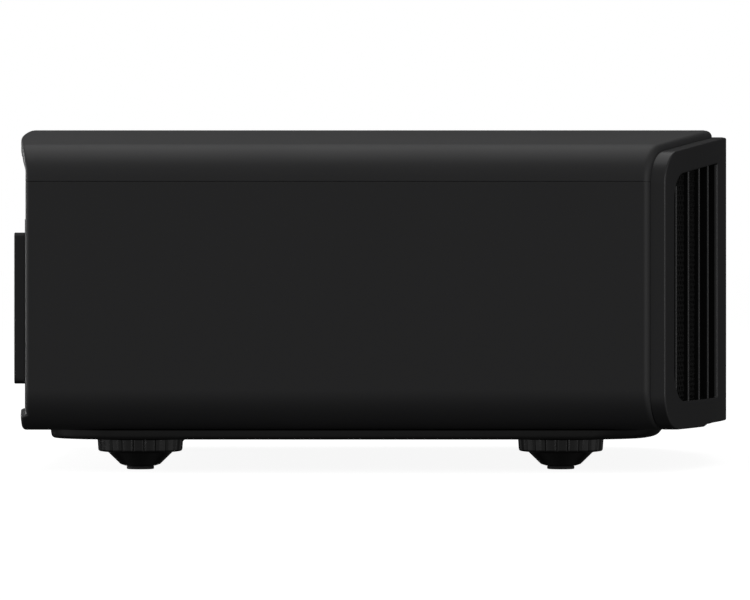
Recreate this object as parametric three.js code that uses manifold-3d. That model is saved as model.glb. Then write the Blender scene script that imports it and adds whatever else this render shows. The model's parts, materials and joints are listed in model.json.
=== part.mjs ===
// A home cinema projector: a wide domed case on four screw feet, with a central lens between two
// swept exhaust vents at the front, and filters, terminals and keys at the back.
// Millimetres, +Z up, front towards -Y, origin at the middle of the footprint on the floor.
import * as THREE from "three";
import { mergeVertices } from "three/addons/utils/BufferGeometryUtils.js";
import Module from "manifold-3d";

const wasm = await Module();
wasm.setup();

// ---------------------------------------------------------------- driving dimensions
const WIDTH = 500;
const DEPTH = 495;
const HEIGHT = 237.4;
const HALF = WIDTH / 2;
const FRONT_Y = -DEPTH / 2;
const REAR_Y = DEPTH / 2;
const GAP = 0.3; // between pieces that touch in the real thing

// Outline of the case seen from the front
const BODY_BOTTOM = 28.5;
const DOME_RADIUS = 1838;
const SHOULDER_RADIUS = 27;
const LOWER_RADIUS = 28;
const SEAM_Z = 197.4; // joint between the top cover and the side panels
const COVER_WALL = 3.5;
const LIP_BOTTOM = 219; // lower edge of the cover's rear lip
const WALL = 3;
const FLANGE_HALF = 205; // where the side panels' bottom flanges end

// Plan of the front: a flat middle, then arcs that sweep back to the sides
const FLAT_HALF = 82;
const SWEEP_RADIUS = 650;
const SWEEP_START = THREE.MathUtils.degToRad(10.2);
const FASCIA_DEPTH = 10; // from the front face back to the joint with the case
const FASCIA_INSET = { side: 4, top: 5, bottom: 2.1 };

// Rear
const CASE_REAR = 242.3;
const SIDE_REAR = 237.4;
const PLATEAU_Y = 240;
const REAR_FACE_Y = 238;
const REAR_CORNER = 5;
const REAR_HALF = 241; // half width of the rear panel

// Vents
const VENT_INNER = 123.5;
const VENT_OUTER = 229.5;
const VENT_CORNER = { upper: 18, lower: 20 };
const VENT_RIM = 2; // wall round each opening, running back to the mesh
const FIN_X = [222, 197.4, 172.7, 148];
const FIN_THICK = 2;
const FIN_SETBACK = 1.5;
const MESH_SETBACK = 13;

// Lens
const LENS_Z = 131;
const APERTURE_RADIUS = 58;
const TRIM_RADIUS = 75.6;
const BARREL_RADIUS = 49;
const SHIFT_UP = 12;
const SHIFT_SIDE = 8;
const REAR_TUBE = 30;

// Feet
const FOOT_X = 180;
const FOOT_FRONT_Y = -126.4;
const FOOT_REAR_Y = 163.7;
const TRAY_BOTTOM = 22.4;
const TRAY_HALF = 228;
const TRAY_Y = [-196.5, 225.5];
const TRAY_CORNER = 46;
const TRAY_WALL = 2;
const STUD_RADIUS = 5;

// Rear fittings
const FILTER_X = [88, 228]; // span of a filter cover, mirrored for the other side
const FILTER_Z = [60, 163];
const KEYPAD_X = -42;
const KEYPAD_Z = 124;
const TERMINAL_Z = 62;
const REMOTE_REAR = { x: [8, 34], z: [148, 158] };
const INDICATOR = { x: [-80, -60], z: [156, 162] };
const REMOTE_FRONT = { x: [-11, 11], z: [38, 48] };

// ---------------------------------------------------------------- materials
function material(name, color, roughness, metalness = 0) {
  const m = new THREE.MeshStandardMaterial({ color, roughness, metalness });
  m.name = name;
  return m;
}
const casePlastic = material("case_plastic", 0x262627, 0.55);
const fasciaPlastic = material("fascia_plastic", 0x1d1d1e, 0.6);
const darkPlastic = material("dark_plastic", 0x101010, 0.5);
const glossPlastic = material("gloss_plastic", 0x0a0a0a, 0.12);
const paintedSteel = material("painted_steel", 0x1b1b1c, 0.45, 0.2);
const bareSteel = material("bare_steel", 0xa8aaad, 0.35, 1);
const aluminium = material("aluminium", 0xb9bcc0, 0.4, 1);
const circuitBoard = material("circuit_board", 0x16402a, 0.6);
const rubber = material("rubber", 0x0b0b0b, 0.8);
const foam = material("foam", 0x1a1a1c, 0.95);
const glass = material("glass", 0x3a3350, 0.05);

// ---------------------------------------------------------------- solids
// A closed three.js geometry as a solid that can be joined and cut.
function solid(geometry) {
  geometry.deleteAttribute("normal");
  geometry.deleteAttribute("uv");
  const g = mergeVertices(geometry, 1e-4);
  return new wasm.Manifold(
    new wasm.Mesh({
      numProp: 3,
      vertProperties: g.attributes.position.array,
      triVerts: new Uint32Array(g.index.array),
    }),
  );
}

function geometryOf(body) {
  const mesh = body.getMesh();
  const g = new THREE.BufferGeometry();
  g.setAttribute("position", new THREE.BufferAttribute(mesh.vertProperties, 3));
  g.setIndex(new THREE.BufferAttribute(mesh.triVerts, 1));
  g.computeVertexNormals();
  return g;
}

const joined = (first, ...rest) => rest.reduce((sum, b) => sum.add(b), first);
const cut = (first, ...rest) => rest.reduce((sum, b) => sum.subtract(b), first);
const points = (pairs) => pairs.map(([a, b]) => new THREE.Vector2(a, b));

function extrude(outline, length) {
  return new THREE.ExtrudeGeometry(new THREE.Shape(outline), {
    depth: length,
    bevelEnabled: false,
  });
}

// An (x, z) outline carried along Y, an (x, y) one along Z, and a (y, z) one along X.
const alongY = (outline, y0, y1) =>
  solid(extrude(outline, y1 - y0).rotateX(Math.PI / 2).translate(0, y1, 0));
const alongZ = (outline, z0, z1) => solid(extrude(outline, z1 - z0).translate(0, 0, z0));
const alongX = (outline, x0, x1) => {
  const turn = new THREE.Matrix4().makeBasis(
    new THREE.Vector3(0, 1, 0),
    new THREE.Vector3(0, 0, 1),
    new THREE.Vector3(1, 0, 0),
  );
  return solid(extrude(outline, x1 - x0).applyMatrix4(turn).translate(x0, 0, 0));
};

function box([x0, x1], [y0, y1], [z0, z1]) {
  const g = new THREE.BoxGeometry(x1 - x0, y1 - y0, z1 - z0);
  return solid(g.translate((x0 + x1) / 2, (y0 + y1) / 2, (z0 + z1) / 2));
}

// A (radius, height) profile turned about Y; turnedZ stands the same thing on Z.
function turned(profile, sides = 32) {
  const made = solid(new THREE.LatheGeometry(points(profile), sides));
  if (made.volume() > 0) return made;
  return solid(new THREE.LatheGeometry(points([...profile].reverse()), sides));
}
const turnedZ = (profile, sides) => turned(profile, sides).rotate([90, 0, 0]);

const disc = (radius, y0, y1, sides) =>
  turned([[0, y0], [radius, y0], [radius, y1], [0, y1]], sides);
const tube = (inner, outer, y0, y1, sides) =>
  turned([[inner, y0], [outer, y0], [outer, y1], [inner, y1], [inner, y0]], sides);
const postZ = (radius, z0, z1, sides) =>
  turnedZ([[0, z0], [radius, z0], [radius, z1], [0, z1]], sides);

function arc(cx, cy, radius, from, to, steps) {
  return Array.from({ length: steps + 1 }, (_, i) => {
    const a = from + ((to - from) * i) / steps;
    return new THREE.Vector2(cx + radius * Math.cos(a), cy + radius * Math.sin(a));
  });
}

function roundedRect([x0, x1], [y0, y1], r, steps = 4) {
  const q = Math.PI / 2;
  return [
    ...arc(x1 - r, y0 + r, r, -q, 0, steps),
    ...arc(x1 - r, y1 - r, r, 0, q, steps),
    ...arc(x0 + r, y1 - r, r, q, 2 * q, steps),
    ...arc(x0 + r, y0 + r, r, 2 * q, 3 * q, steps),
  ];
}

// ---------------------------------------------------------------- the case's curves
// The case seen from the front, drawn in by the given insets: flat bottom, round lower corners,
// upright sides, round shoulders and a shallow dome.
function caseOutline({ side = 0, top = 0, bottom = 0, shoulder, lower }) {
  const half = HALF - side;
  const floor = BODY_BOTTOM + bottom;
  const domeR = DOME_RADIUS - top;
  const domeZ = HEIGHT - DOME_RADIUS;
  const upperR = shoulder ?? SHOULDER_RADIUS - side;
  const lowerR = lower ?? LOWER_RADIUS - side;
  const sx = half - upperR;
  const sz = domeZ + Math.sqrt((domeR - upperR) ** 2 - sx ** 2);
  const meet = Math.atan2(sz - domeZ, sx);
  const q = Math.PI / 2;
  return [
    ...arc(half - lowerR, floor + lowerR, lowerR, -q, 0, 8),
    ...arc(sx, sz, upperR, 0, meet, 8),
    ...arc(0, domeZ, domeR, meet, Math.PI - meet, 14).slice(1, -1),
    ...arc(-sx, sz, upperR, Math.PI - meet, Math.PI, 8),
    ...arc(lowerR - half, floor + lowerR, lowerR, 2 * q, 3 * q, 8),
  ];
}

// Y of the front face at a distance w from the middle.
function frontY(w) {
  if (w <= FLAT_HALF) return FRONT_Y;
  const turnedBy = Math.asin(Math.sin(SWEEP_START) + (w - FLAT_HALF) / SWEEP_RADIUS);
  return FRONT_Y + SWEEP_RADIUS * (Math.cos(SWEEP_START) - Math.cos(turnedBy));
}

// The front curve from +X to -X, moved back by setback.
function frontCurve(setback, half = HALF + 5, steps = 9) {
  const right = Array.from({ length: steps + 1 }, (_, i) => {
    const w = FLAT_HALF + ((half - FLAT_HALF) * i) / steps;
    return new THREE.Vector2(w, frontY(w) + setback);
  }).reverse();
  const left = right.map((p) => new THREE.Vector2(-p.x, p.y)).reverse();
  return [...right, ...left];
}

// Everything behind the front curve, to a rear with round corners.
function planBehind(setback, rear, half = HALF, corner = 1) {
  const q = Math.PI / 2;
  const outline = [
    ...frontCurve(setback, half),
    ...arc(corner - half, rear - corner, corner, 2 * q, q, 4),
    ...arc(half - corner, rear - corner, corner, q, 0, 4),
  ];
  return alongZ(outline, -10, HEIGHT + 10);
}

// The slice between two parallels of the front curve.
function frontLayer(from, to) {
  const back = frontCurve(to).reverse();
  return alongZ([...frontCurve(from), ...back], -10, HEIGHT + 10);
}

const caseBlock = (insets, y0 = FRONT_Y - 5, y1 = REAR_Y + 5) =>
  alongY(caseOutline(insets), y0, y1);

// ---------------------------------------------------------------- case
function topCover() {
  const plan = planBehind(FASCIA_DEPTH, CASE_REAR, HALF, REAR_CORNER);
  const above = box([-300, 300], [-300, 300], [SEAM_Z + GAP, 300]);
  const inside = caseBlock({ side: COVER_WALL, top: COVER_WALL });
  const hollow = inside.intersect(planBehind(-20, SIDE_REAR - WALL, HALF - COVER_WALL));
  const rearEdge = REAR_HALF + GAP;
  const rearRoom = inside.intersect(box([-rearEdge, rearEdge], [0, REAR_FACE_Y + GAP], [0, 300]));
  const belowLip = box([-300, 300], [SIDE_REAR, 300], [0, LIP_BOTTOM]);
  return cut(caseBlock({}).intersect(plan).intersect(above), hollow, rearRoom, belowLip);
}

function sidePanel() {
  const plan = planBehind(FASCIA_DEPTH, SIDE_REAR, HALF, REAR_CORNER - 1);
  const span = box([FLANGE_HALF, 300], [-300, 300], [0, SEAM_Z]);
  const hollow = planBehind(-20, SIDE_REAR - WALL, HALF - WALL, REAR_CORNER - 1 - WALL);
  const inside = caseBlock({ side: WALL, top: WALL, bottom: WALL });
  const rearOpening = inside.intersect(box([0, REAR_HALF + GAP], [200, 300], [0, 300]));
  return cut(caseBlock({}).intersect(plan).intersect(span), inside.intersect(hollow), rearOpening);
}

function bottomCover() {
  const plan = planBehind(FASCIA_DEPTH, CASE_REAR, FLANGE_HALF - GAP, 3);
  const plate = box([-300, 300], [-300, 300], [BODY_BOTTOM, BODY_BOTTOM + WALL]);
  const lip = box([-204, 204], [REAR_FACE_Y + GAP, CASE_REAR], [BODY_BOTTOM, 37]);
  return cut(joined(plate.intersect(plan), lip), ...footHoles());
}

function baseTray() {
  const [front, rear] = TRAY_Y;
  const within = (wall) => {
    const half = TRAY_HALF - wall;
    return roundedRect([-half, half], [front + wall, rear - wall], TRAY_CORNER - wall, 8);
  };
  const outside = alongZ(within(0), TRAY_BOTTOM, BODY_BOTTOM - GAP);
  const pan = cut(outside, alongZ(within(TRAY_WALL), TRAY_BOTTOM + TRAY_WALL, 40));
  return cut(pan, ...footHoles());
}

function footHoles() {
  return footPlaces().map(({ x, y }) => postZ(STUD_RADIUS + 0.6, 0, 60, 16).translate([x, y, 0]));
}

function footPlaces() {
  return [
    { name: "front_left", x: FOOT_X, y: FOOT_FRONT_Y },
    { name: "front_right", x: -FOOT_X, y: FOOT_FRONT_Y },
    { name: "rear_left", x: FOOT_X, y: FOOT_REAR_Y },
    { name: "rear_right", x: -FOOT_X, y: FOOT_REAR_Y },
  ];
}

// The opening of both vents, seen from the front.
function ventOpenings(grow = 0) {
  const inset = { side: HALF - VENT_OUTER - grow, top: 21.5 - grow, bottom: 18.5 - grow };
  const corners = { shoulder: VENT_CORNER.upper + grow, lower: VENT_CORNER.lower + grow };
  const tall = caseBlock({ ...inset, ...corners }, -300, -100);
  const inner = VENT_INNER - grow;
  return cut(tall, box([-inner, inner], [-300, 0], [0, 300]));
}

function frontFascia() {
  const { side, top, bottom } = FASCIA_INSET;
  const skin = caseBlock(FASCIA_INSET).intersect(frontLayer(0, FASCIA_DEPTH - GAP));
  const hollow = caseBlock({ side: side + WALL, top: top + WALL, bottom: bottom + WALL });
  const shell = cut(skin, hollow.intersect(frontLayer(WALL, 60)));
  const tongueOuter = caseBlock({ side: 6, top: 7.5, bottom: 4.5 });
  const tongueInner = caseBlock({ side: 8.5, top: 10, bottom: 7 });
  const tongue = cut(tongueOuter, tongueInner).intersect(frontLayer(WALL - 1, 20));
  const aperture = disc(TRIM_RADIUS + GAP, -260, -200, 40).translate([0, 0, LENS_Z]);
  const window = windowHole(REMOTE_FRONT, [-260, -200]);
  const rims = ventOpenings(VENT_RIM).intersect(frontLayer(2, MESH_SETBACK - GAP));
  const walls = cut(joined(shell, tongue, rims), ventOpenings(), aperture, window);
  return joined(walls, ventFins());
}

function windowHole({ x: [x0, x1], z: [z0, z1] }, y) {
  return box([x0 - GAP, x1 + GAP], y, [z0 - GAP, z1 + GAP]);
}

function ventFins() {
  const rows = FIN_X.flatMap((x) => [x, -x]).map((x) =>
    box([x - FIN_THICK / 2, x + FIN_THICK / 2], [-300, -100], [40, 220]),
  );
  const layer = frontLayer(FIN_SETBACK, MESH_SETBACK - 2);
  return joined(...rows).intersect(layer).intersect(ventOpenings(VENT_RIM / 2));
}

function ventMesh() {
  const sheet = frontLayer(MESH_SETBACK, MESH_SETBACK + 1.2).intersect(ventOpenings(1.5));
  return sheet.intersect(box([0, 300], [-300, 0], [0, 300]));
}

function rearPanel() {
  const fit = { side: COVER_WALL + GAP, top: COVER_WALL + GAP, bottom: WALL + GAP };
  const plate = caseBlock(fit, REAR_FACE_Y - WALL, REAR_FACE_Y);
  const plateau = box([-231, 231], [REAR_FACE_Y - 1, PLATEAU_Y], [38, 172]);
  const sideEdges = box([-REAR_HALF, REAR_HALF], [200, 300], [0, 300]);
  return cut(
    joined(plate, plateau).intersect(sideEdges),
    ...[1, -1].flatMap(filterSlots),
    box([-86.3, 86.3], [200, 300], [43.7, 80.3]),
    box([31.7, 72.3], [200, 300], [104.7, 131.3]),
    windowHole(REMOTE_REAR, [200, 300]),
    windowHole(INDICATOR, [200, 300]),
    ...keys().map((key) => key.hole),
  );
}

// Upright air slots in the panel behind a filter, leaving bars between them.
function filterSlots(side) {
  const slots = 8;
  const pitch = 15.5;
  return Array.from({ length: slots }, (_, i) => {
    const x = side * (103.5 + pitch * i);
    return box([x - 6, x + 6], [200, 300], [68, 155]);
  });
}

// ---------------------------------------------------------------- lens opening and shutters
function lensTrimRing() {
  const profile = [
    [APERTURE_RADIUS, -236],
    [72.5, -246.6],
    [73.2, -247],
    [TRIM_RADIUS, -247],
    [TRIM_RADIUS, -244.2],
    [79, -244.2],
    [79, -241],
    [66, -236],
    [APERTURE_RADIUS, -236],
  ];
  return turned(profile, 48).translate([0, 0, LENS_Z]);
}

// One door, drawn open on the +X side: it slides towards the middle to close.
function shutter() {
  const outline = roundedRect([60, 119.6], [LENS_Z - 63.5, LENS_Z + 63.5], 3, 2);
  return alongY(outline, -234.4, -232.4);
}

function shutterTrack() {
  const half = VENT_INNER - VENT_RIM - GAP;
  const plate = box([-half, half], [-231.8, -230.3], [LENS_Z - 72, LENS_Z + 72]);
  const hood = disc(66, -230.5, -216.5, 40).translate([0, 0, LENS_Z]);
  const bore = disc(64, -300, -100, 40).translate([0, 0, LENS_Z]);
  const rails = [1, -1].map((s) => {
    const z = LENS_Z + s * 66.5;
    return box([-half, half], [-234.2, -231], [z - 2.2, z + 2.2]);
  });
  return cut(joined(plate, hood, ...rails), bore);
}

// ---------------------------------------------------------------- lens
const onLensAxis = (body) => body.translate([0, 0, LENS_Z]);

function lensBarrel() {
  const profile = [
    [46, -211],
    [BARREL_RADIUS, -211],
    [BARREL_RADIUS, -160],
    [54, -156],
    [54, -148.3],
    [REAR_TUBE, -148.3],
    [REAR_TUBE, -119],
    [24, -119],
    [24, -160],
    [46, -170],
    [46, -211],
  ];
  return onLensAxis(turned(profile, 36));
}

function lensBaffle() {
  const plate = box([-78, 78], [-214.6, -213], [LENS_Z - 80, LENS_Z + 80]);
  const neck = onLensAxis(tube(46.4, 51, -213.2, -211.3, 36));
  return cut(joined(plate, neck), onLensAxis(disc(46.4, -300, -100, 36)));
}

// A drive ring round the barrel, with gear teeth cut in its rim.
function driveRing(y0, y1, teeth) {
  const rim = Array.from({ length: teeth * 2 }, (_, i) => {
    const a = (Math.PI * i) / teeth;
    const r = i % 2 ? 55.5 : 58;
    return new THREE.Vector2(r * Math.cos(a), r * Math.sin(a));
  });
  return onLensAxis(cut(alongY(rim, y0, y1), disc(BARREL_RADIUS + 0.5, -300, -100, 36)));
}

function frontLensCell() {
  const profile = [
    [40.4, -223],
    [45.6, -223],
    [45.6, -185],
    [38, -185],
    [38, -212.7],
    [40.4, -212.7],
    [40.4, -223],
  ];
  return onLensAxis(turned(profile, 36));
}

// The front element: domed towards the screen, hollow towards the film plane.
function frontLens() {
  const front = arc(0, 0, 1, Math.PI / 2, 0, 6).map((p) => [40 * p.x, -213.4 - 10.6 * p.y]);
  const rear = [
    [40, -213.1],
    [30, -215],
    [15, -216.6],
    [0, -217],
  ];
  return onLensAxis(turned([...front, ...rear], 36));
}

function horizontalCarriage() {
  const plate = box([-60, 60], [-148, -142], [LENS_Z - 60, LENS_Z + 60]);
  return cut(plate, onLensAxis(disc(REAR_TUBE + GAP, -300, -100, 24)));
}

function verticalCarriage() {
  const plate = box([-75, 75], [-139, -133], [LENS_Z - 66, LENS_Z + 66]);
  const ribs = [1, -1].map((s) => {
    const z = LENS_Z + s * 63.3;
    return box([-75, 75], [-147, -138], [z - 2.7, z + 2.7]);
  });
  return cut(joined(plate, ...ribs), onLensAxis(disc(REAR_TUBE + SHIFT_SIDE + 2, -300, -100, 24)));
}

function shiftFrame() {
  const reach = Math.hypot(SHIFT_UP, SHIFT_SIDE);
  const plate = box([-90, 90], [-129, -123], [BODY_BOTTOM + WALL + GAP, LENS_Z + 82]);
  const ribs = [1, -1].map((s) => {
    const x = s * 78.5;
    return box([x - 3, x + 3], [-138, -128], [LENS_Z - 80, LENS_Z + 80]);
  });
  const foot = box([-90, 90], [-129, -95], [BODY_BOTTOM + WALL + GAP, 36]);
  const bore = onLensAxis(disc(REAR_TUBE + reach + 2, -300, -100, 24));
  return cut(joined(plate, foot, ...ribs), bore);
}

// ---------------------------------------------------------------- light, power and cooling
function lightEngine() {
  const housing = box([-62, 62], [-92, 30], [80, 180]);
  const snout = onLensAxis(disc(26, -112, -90, 24));
  const tower = box([-40, 10], [-60, 0], [179, 193]);
  const legs = [-50, 40].flatMap((x) => [-80, 10].map((y) => box([x, x + 10], [y, y + 10], [31.8, 81])));
  return joined(housing, snout, tower, ...legs);
}

function laserModule() {
  const bank = box([-205, -66], [-45, 70], [60, 170]);
  const coldPlate = box([-212, -80], [69, 78], [50, 180]);
  const stand = box([-190, -90], [-30, 60], [31.8, 61]);
  return joined(bank, coldPlate, stand);
}

function heatSink() {
  const fins = 12;
  const base = box([-222, -116], [-62, -54], [45, 185]);
  const plates = Array.from({ length: fins }, (_, i) => {
    const x = -221 + (104 * i) / (fins - 1);
    return box([x - 1, x + 1], [-150, -61], [45, 185]);
  });
  return joined(base, ...plates);
}

function mainBoard() {
  const board = box([-190, 190], [-30, 205], [200, 201.6]);
  const chips = [
    [-60, 60, 36],
    [20, 90, 28],
    [110, 40, 34],
    [-140, 120, 26],
    [60, 160, 22],
  ].map(([x, y, size]) => box([x, x + size], [y, y + size], [201, 205]));
  const legs = [
    [-50, -20, 180],
    [50, -20, 180],
    [-50, 20, 180],
    [50, 20, 180],
    [-150, 60, 170],
    [-150, 0, 170],
  ].map(([x, y, z]) => postZ(3, z + GAP, 200.5, 8).translate([x, y, 0]));
  return joined(board, ...chips, ...legs);
}

function powerBoard() {
  const board = box([80, 215], [-100, 150], [38, 39.6]);
  const transformer = box([100, 150], [-60, 0], [39, 82]);
  const choke = box([160, 200], [-80, -40], [39, 70]);
  const capacitors = [20, 50, 80].map((y) => postZ(12, 39, 78, 12).translate([180, y, 0]));
  const stand = box([140, 150], [60, 70], [31.8, 39]);
  return joined(board, transformer, choke, stand, ...capacitors);
}

const FAN = { x: 176, z: 128, y0: -184, y1: -159, half: 58, bore: 55 };

function fanFrame() {
  const { x, z, y0, y1, half, bore } = FAN;
  const outline = roundedRect([x - half, x + half], [z - half, z + half], 6, 2);
  const throat = disc(bore, -300, 0, 32).translate([x, 0, z]);
  const ring = cut(alongY(outline, y0, y1), throat);
  const spokes = [
    box([x - half + 2, x + half - 2], [y1 - 3, y1], [z - 2, z + 2]),
    box([x - 2, x + 2], [y1 - 3, y1], [z - half + 2, z + half - 2]),
  ];
  const hub = disc(18, y1 - 3, y1, 20).translate([x, 0, z]);
  return joined(ring, hub, ...spokes);
}

// Hub and seven pitched blades on the fan's axis.
function fanRotor() {
  const { x, z, y0, y1, bore } = FAN;
  const blades = 7;
  const hub = disc(19, y0 + 2, y1 - 4, 20);
  const parts = Array.from({ length: blades }, (_, i) => {
    const blade = box([17, bore - 2.5], [-1, 1], [-9, 9]).rotate([48, 0, 0]);
    const middle = (y0 + y1) / 2 - 1;
    return blade.rotate([0, (360 * i) / blades, 0]).translate([0, middle, 0]);
  });
  return joined(hub, ...parts).translate([x, 0, z]);
}

// ---------------------------------------------------------------- rear fittings
function filterCover() {
  const outline = roundedRect(FILTER_X, FILTER_Z, 4, 3);
  const [x0, x1] = FILTER_X;
  const [z0, z1] = FILTER_Z;
  const shell = alongY(outline, PLATEAU_Y + GAP, REAR_Y);
  const hollow = box([x0 + 2.5, x1 - 2.5], [200, REAR_Y - 2], [z0 + 2.5, z1 - 2.5]);
  const slots = Array.from({ length: 9 }, (_, i) => {
    const z = z0 + 13.5 + 9.5 * i;
    return box([x0 + 10, x1 - 10], [200, 300], [z - 2.4, z + 2.4]);
  });
  return cut(shell, hollow, ...slots);
}

function filterPad() {
  const [x0, x1] = FILTER_X;
  const [z0, z1] = FILTER_Z;
  return box([x0 + 3, x1 - 3], [PLATEAU_Y + 1, REAR_Y - 2 - GAP], [z0 + 3, z1 - 3]);
}

// Sockets in the terminal plate: centre, outer size, cavity size, depth.
const SOCKETS = {
  serial_port: { x: -62, outer: [31, 12.4], cavity: [17.4, 8.6], depth: 9 },
  lan_port: { x: -28, outer: [16.4, 14], cavity: [12, 9], depth: 12 },
  hdmi_port_1: { x: 0, outer: [16.4, 7], cavity: [14.2, 4.7], depth: 11 },
  hdmi_port_2: { x: 26, outer: [16.4, 7], cavity: [14.2, 4.7], depth: 11 },
  usb_port: { x: 51, outer: [15.2, 7.6], cavity: [12.6, 4.9], depth: 11 },
};
const PLATE_Y = [237.5, 239];

const centred = (c, size) => [c - size / 2, c + size / 2];

function terminalPlate() {
  const plate = box([-86, 86], PLATE_Y, [44, 80]);
  const holes = Object.values(SOCKETS).map(({ x, outer }) =>
    box(centred(x, outer[0] + 0.6), [200, 300], centred(TERMINAL_Z, outer[1] + 0.6)),
  );
  return cut(plate, ...holes, disc(4, 200, 300, 16).translate([72, 0, TERMINAL_Z]));
}

function socket({ x, outer, cavity, depth }) {
  const face = PLATE_Y[1] + 0.6;
  const shell = box(centred(x, outer[0]), [face - depth - 2, face], centred(TERMINAL_Z, outer[1]));
  const inside = box(centred(x, cavity[0]), [face - depth, 300], centred(TERMINAL_Z, cavity[1]));
  return cut(shell, inside);
}

function triggerJack() {
  return tube(1.8, 3.7, 228, 240.4, 16).translate([72, 0, TERMINAL_Z]);
}

function acInlet() {
  const outer = alongY(roundedRect([32, 72], [105, 131], 2, 2), 226, 240.6);
  const cavity = alongY(roundedRect([40, 64], [110, 126], 2.5, 2), 228, 300);
  return cut(outer, cavity);
}

// A key: a cap that stands proud of the panel on a wider flange behind it.
function key(name, x, z, radius) {
  const cap = disc(radius, REAR_FACE_Y - 4, PLATEAU_Y + 1.6, 20);
  const flange = disc(radius + 1.5, REAR_FACE_Y - 7, REAR_FACE_Y - 4, 20);
  const place = [x, 0, z];
  return {
    name,
    body: joined(cap, flange).translate(place),
    hole: disc(radius + 0.4, 200, 300, 20).translate(place),
  };
}

function keys() {
  const around = [
    ["power_button", -30, 22],
    ["input_button", 30, 22],
    ["menu_button", -30, -22],
    ["back_button", 30, -22],
  ].map(([name, dx, dz]) => key(name, KEYPAD_X - dx, KEYPAD_Z + dz, 5));
  const ok = key("ok_button", KEYPAD_X, KEYPAD_Z, 7);
  return [...around, { ...ok, hole: directionPad().hole }];
}

function directionPad() {
  const place = [KEYPAD_X, 0, KEYPAD_Z];
  const cap = disc(18, REAR_FACE_Y - 3.6, PLATEAU_Y + 1, 28);
  const keyFlange = disc(9.2, 200, REAR_FACE_Y - 2, 20);
  return {
    body: cut(cap, disc(7.4, 200, 300, 20), keyFlange).translate(place),
    hole: disc(18.4, 200, 300, 28).translate(place),
  };
}

// ---------------------------------------------------------------- feet
// Knurled disc, cone and threaded stud, turned by hand to raise the corner.
function footKnob() {
  const lobes = 22;
  const rim = Array.from({ length: lobes * 2 }, (_, i) => {
    const a = (Math.PI * i) / lobes;
    const r = i % 2 ? 28.3 : 29.7;
    return new THREE.Vector2(r * Math.cos(a), r * Math.sin(a));
  });
  const disk = alongZ(rim, 13.1, TRAY_BOTTOM - GAP);
  const cone = turnedZ([[3.4, 2.5], [13, 2.5], [22.2, 13.2], [3.4, 13.2], [3.4, 2.5]], 28);
  const stud = postZ(STUD_RADIUS, 13, 42, 16);
  return joined(disk, cone, stud);
}

// Rubber sole on a spigot, which stays still while the knob turns above it.
function footPad() {
  return turnedZ([[0, 0], [9.5, 0], [9.5, 2.2], [3, 2.2], [3, 11], [0, 11]], 24);
}

// ---------------------------------------------------------------- assembly
const projector = new THREE.Group();

function add(name, body, look) {
  const mesh = new THREE.Mesh(geometryOf(body), look);
  mesh.name = name;
  projector.add(mesh);
}

// Two mirrored pieces: the projector's left is +X when it faces -Y.
function addPair(name, body, look) {
  add(`${name}_left`, body, look);
  add(`${name}_right`, body.mirror([1, 0, 0]), look);
}

add("top_cover", topCover(), casePlastic);
add("left_side_panel", sidePanel(), casePlastic);
add("right_side_panel", sidePanel().mirror([1, 0, 0]), casePlastic);
add("bottom_cover", bottomCover(), casePlastic);
add("base_tray", baseTray(), paintedSteel);
add("front_fascia", frontFascia(), fasciaPlastic);
add("rear_panel", rearPanel(), casePlastic);
addPair("vent_mesh", ventMesh(), paintedSteel);
add("remote_window_front", box(REMOTE_FRONT.x, [-246.9, -243], REMOTE_FRONT.z), glossPlastic);

add("lens_trim_ring", lensTrimRing(), glossPlastic);
addPair("shutter", shutter(), darkPlastic);
add("shutter_track", shutterTrack(), darkPlastic);
add("lens_barrel", lensBarrel(), darkPlastic);
add("lens_baffle", lensBaffle(), darkPlastic);
add("focus_ring", driveRing(-206, -197, 36), darkPlastic);
add("zoom_ring", driveRing(-182, -172, 36), darkPlastic);
add("front_lens_cell", frontLensCell(), darkPlastic);
add("front_lens", frontLens(), glass);
add("horizontal_carriage", horizontalCarriage(), aluminium);
add("vertical_carriage", verticalCarriage(), aluminium);
add("shift_frame", shiftFrame(), aluminium);

add("light_engine", lightEngine(), aluminium);
add("laser_module", laserModule(), aluminium);
add("heat_sink", heatSink(), aluminium);
add("main_board", mainBoard(), circuitBoard);
add("power_board", powerBoard(), circuitBoard);
addPair("fan_frame", fanFrame(), darkPlastic);
addPair("fan_rotor", fanRotor(), darkPlastic);

addPair("filter_cover", filterCover(), casePlastic);
addPair("air_filter", filterPad(), foam);
add("terminal_plate", terminalPlate(), paintedSteel);
for (const [name, sizes] of Object.entries(SOCKETS)) add(name, socket(sizes), bareSteel);
add("trigger_jack", triggerJack(), darkPlastic);
add("ac_inlet", acInlet(), darkPlastic);
add("remote_window_rear", box(REMOTE_REAR.x, [236, 240.6], REMOTE_REAR.z), glossPlastic);
add("indicator_window", box(INDICATOR.x, [236, 240.4], INDICATOR.z), glossPlastic);
for (const { name, body } of keys()) add(name, body, darkPlastic);
add("direction_pad", directionPad().body, darkPlastic);

for (const { name, x, y } of footPlaces()) {
  add(`foot_knob_${name}`, footKnob().translate([x, y, 0]), darkPlastic);
  add(`foot_pad_${name}`, footPad().translate([x, y, 0]), rubber);
}

export default projector;
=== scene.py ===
"""The looks of a home cinema projector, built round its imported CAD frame.

Lengths are in millimetres until a mesh is made. +Z is up and the lens faces -Y.
"""

import json
import math

import bmesh
import bpy
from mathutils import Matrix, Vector
from mathutils.geometry import tessellate_polygon

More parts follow.
